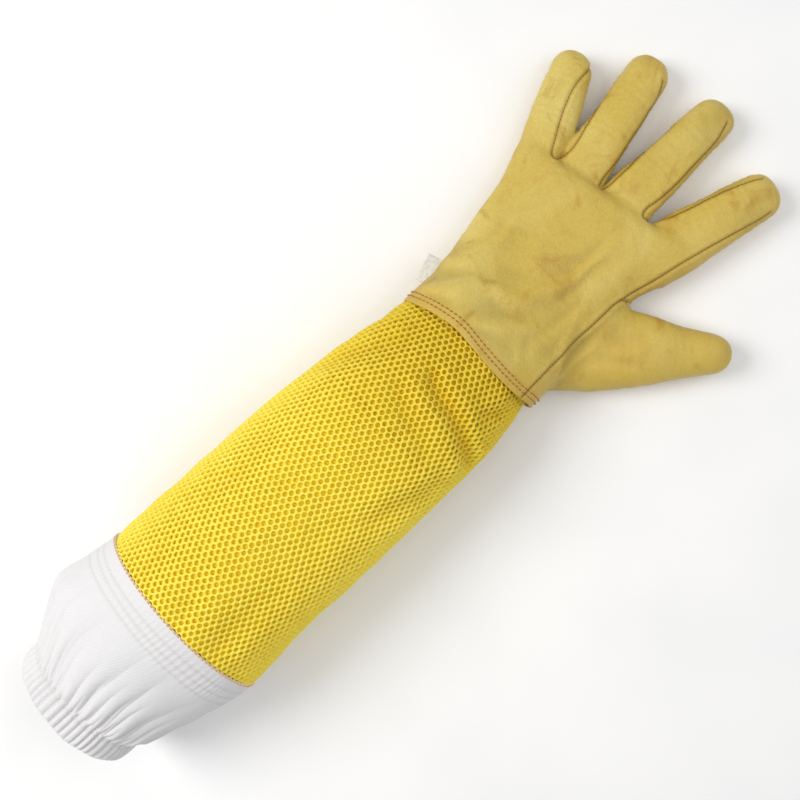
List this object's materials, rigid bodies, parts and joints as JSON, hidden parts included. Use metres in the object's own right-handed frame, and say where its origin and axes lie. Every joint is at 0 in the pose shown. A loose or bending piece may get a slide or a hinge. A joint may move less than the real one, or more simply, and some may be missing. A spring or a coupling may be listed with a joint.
{
  "type": "beekeeping glove",
  "caption": "Left leather beekeeping glove with a ventilated mesh sleeve and a white canvas cuff gathered on elastic, lying palm down and open as worn.",
  "frame": {"origin": "centre of the bounding box on the surface the glove lies on", "axes": "+X towards the fingertips, +Y towards the little finger, +Z out of the back of the hand"},
  "size_m": [0.5084, 0.1966, 0.0861],
  "materials": {
    "leather": "soft undyed-look yellow grain leather, matt",
    "mesh": "yellow open hexagonal warp-knit mesh",
    "lining": "amber fine-knit inner layer",
    "canvas": "white cotton twill",
    "elastic": "woven elastic tape",
    "hem_thread": "rust-brown polyester thread",
    "white_thread": "white cotton thread",
    "label": "blank white satin tape"
  },
  "bodies": {
    "hand": {"hand_back_panel": "leather", "hand_palm_panel": "leather", "index_side_strip": "leather", "thumb_gusset": "leather", "wrist_hem": "leather", "hem_stitching": "hem_thread", "care_label": "label", "mesh_tuck": "mesh", "wrist_mesh_outer": "mesh", "wrist_mesh_spacer": "mesh", "wrist_mesh_lining": "lining"},
    "knuckles": {"knuckle_back": "leather", "knuckle_fourchettes": "leather", "knuckle_palm": "leather", "crotch_web": "leather", "little_base": "leather", "ring_base": "leather", "middle_base": "leather", "index_base": "leather"},
    "sleeve": {"sleeve_mesh_outer": "mesh", "sleeve_mesh_spacer": "mesh", "sleeve_mesh_lining": "lining", "sleeve_side_seam": "mesh", "seam_binding": "canvas", "canvas_seam_band": "canvas"},
    "cuff": {"canvas_cuff": "canvas", "elastic_casing": "canvas", "elastic_band": "elastic", "casing_stitching": "white_thread"},
    "thumb_base": {"thumb_base_back": "leather", "thumb_base_palm": "leather"},
    "thumb_tip": {"thumb_tip_back": "leather", "thumb_tip_palm": "leather"},
    "little_middle": {"little_middle_back": "leather", "little_middle_fourchettes": "leather", "little_middle_palm": "leather"},
    "little_tip": {"little_tip_back": "leather", "little_tip_fourchettes": "leather", "little_tip_palm": "leather"},
    "ring_middle": {"ring_middle_back": "leather", "ring_middle_fourchettes": "leather", "ring_middle_palm": "leather"},
    "ring_tip": {"ring_tip_back": "leather", "ring_tip_fourchettes": "leather", "ring_tip_palm": "leather"},
    "middle_middle": {"middle_middle_back": "leather", "middle_middle_fourchettes": "leather", "middle_middle_palm": "leather"},
    "middle_tip": {"middle_tip_back": "leather", "middle_tip_fourchettes": "leather", "middle_tip_palm": "leather"},
    "index_middle": {"index_middle_back": "leather", "index_middle_fourchettes": "leather", "index_middle_palm": "leather"},
    "index_tip": {"index_tip_back": "leather", "index_tip_fourchettes": "leather", "index_tip_palm": "leather"}
  },
  "joints": [
    {"name": "wrist_bend", "type": "hinge", "parent": "hand", "child": "sleeve", "pos_m": [0.022, 0, 0.033], "axis": [0, 1, 0], "range_deg": [-25, 25]},
    {"name": "cuff_bend", "type": "hinge", "parent": "sleeve", "child": "cuff", "pos_m": [-0.188, 0, 0.043], "axis": [0, 1, 0], "range_deg": [-15, 15]},
    {"name": "knuckle_fold", "type": "hinge", "parent": "hand", "child": "knuckles", "pos_m": [0.143, 0.021, 0.008], "axis": [-0.2419, 0.9703, 0], "range_deg": [0, 60]},
    {"name": "thumb_base_fold", "type": "hinge", "parent": "hand", "child": "thumb_base", "pos_m": [0.11528, -0.04748, 0.008], "axis": [0.749, 0.6626, 0], "range_deg": [0, 35]},
    {"name": "thumb_tip_fold", "type": "hinge", "parent": "thumb_base", "child": "thumb_tip", "pos_m": [0.13515, -0.06995, 0.008], "axis": [0.749, 0.6626, 0], "range_deg": [0, 60]},
    {"name": "little_middle_fold", "type": "hinge", "parent": "knuckles", "child": "little_middle", "pos_m": [0.17327, 0.0778, 0.008], "axis": [-0.4147, 0.91, 0], "range_deg": [0, 80]},
    {"name": "little_tip_fold", "type": "hinge", "parent": "little_middle", "child": "little_tip", "pos_m": [0.19159, 0.08615, 0.008], "axis": [-0.4147, 0.91, 0], "range_deg": [0, 55]},
    {"name": "ring_middle_fold", "type": "hinge", "parent": "knuckles", "child": "ring_middle", "pos_m": [0.18947, 0.0491, 0.008], "axis": [-0.2079, 0.9781, 0], "range_deg": [0, 80]},
    {"name": "ring_tip_fold", "type": "hinge", "parent": "ring_middle", "child": "ring_tip", "pos_m": [0.21594, 0.05472, 0.008], "axis": [-0.2079, 0.9781, 0], "range_deg": [0, 55]},
    {"name": "middle_middle_fold", "type": "hinge", "parent": "knuckles", "child": "middle_middle", "pos_m": [0.19881, 0.0125, 0.008], "axis": [-0.0349, 0.9994, 0], "range_deg": [0, 80]},
    {"name": "middle_tip_fold", "type": "hinge", "parent": "middle_middle", "child": "middle_tip", "pos_m": [0.22658, 0.01347, 0.008], "axis": [-0.0349, 0.9994, 0], "range_deg": [0, 55]},
    {"name": "index_middle_fold", "type": "hinge", "parent": "knuckles", "child": "index_middle", "pos_m": [0.19787, -0.03093, 0.008], "axis": [0.225, 0.9744, 0], "range_deg": [0, 80]},
    {"name": "index_tip_fold", "type": "hinge", "parent": "index_middle", "child": "index_tip", "pos_m": [0.21861, -0.03572, 0.008], "axis": [0.225, 0.9744, 0], "range_deg": [0, 55]}
  ],
  "couplings": [
    {"joint": "little_tip_fold", "follows": "little_middle_fold", "ratio": 0.6875},
    {"joint": "ring_tip_fold", "follows": "ring_middle_fold", "ratio": 0.6875},
    {"joint": "middle_tip_fold", "follows": "middle_middle_fold", "ratio": 0.6875},
    {"joint": "index_tip_fold", "follows": "index_middle_fold", "ratio": 0.6875}
  ]
}
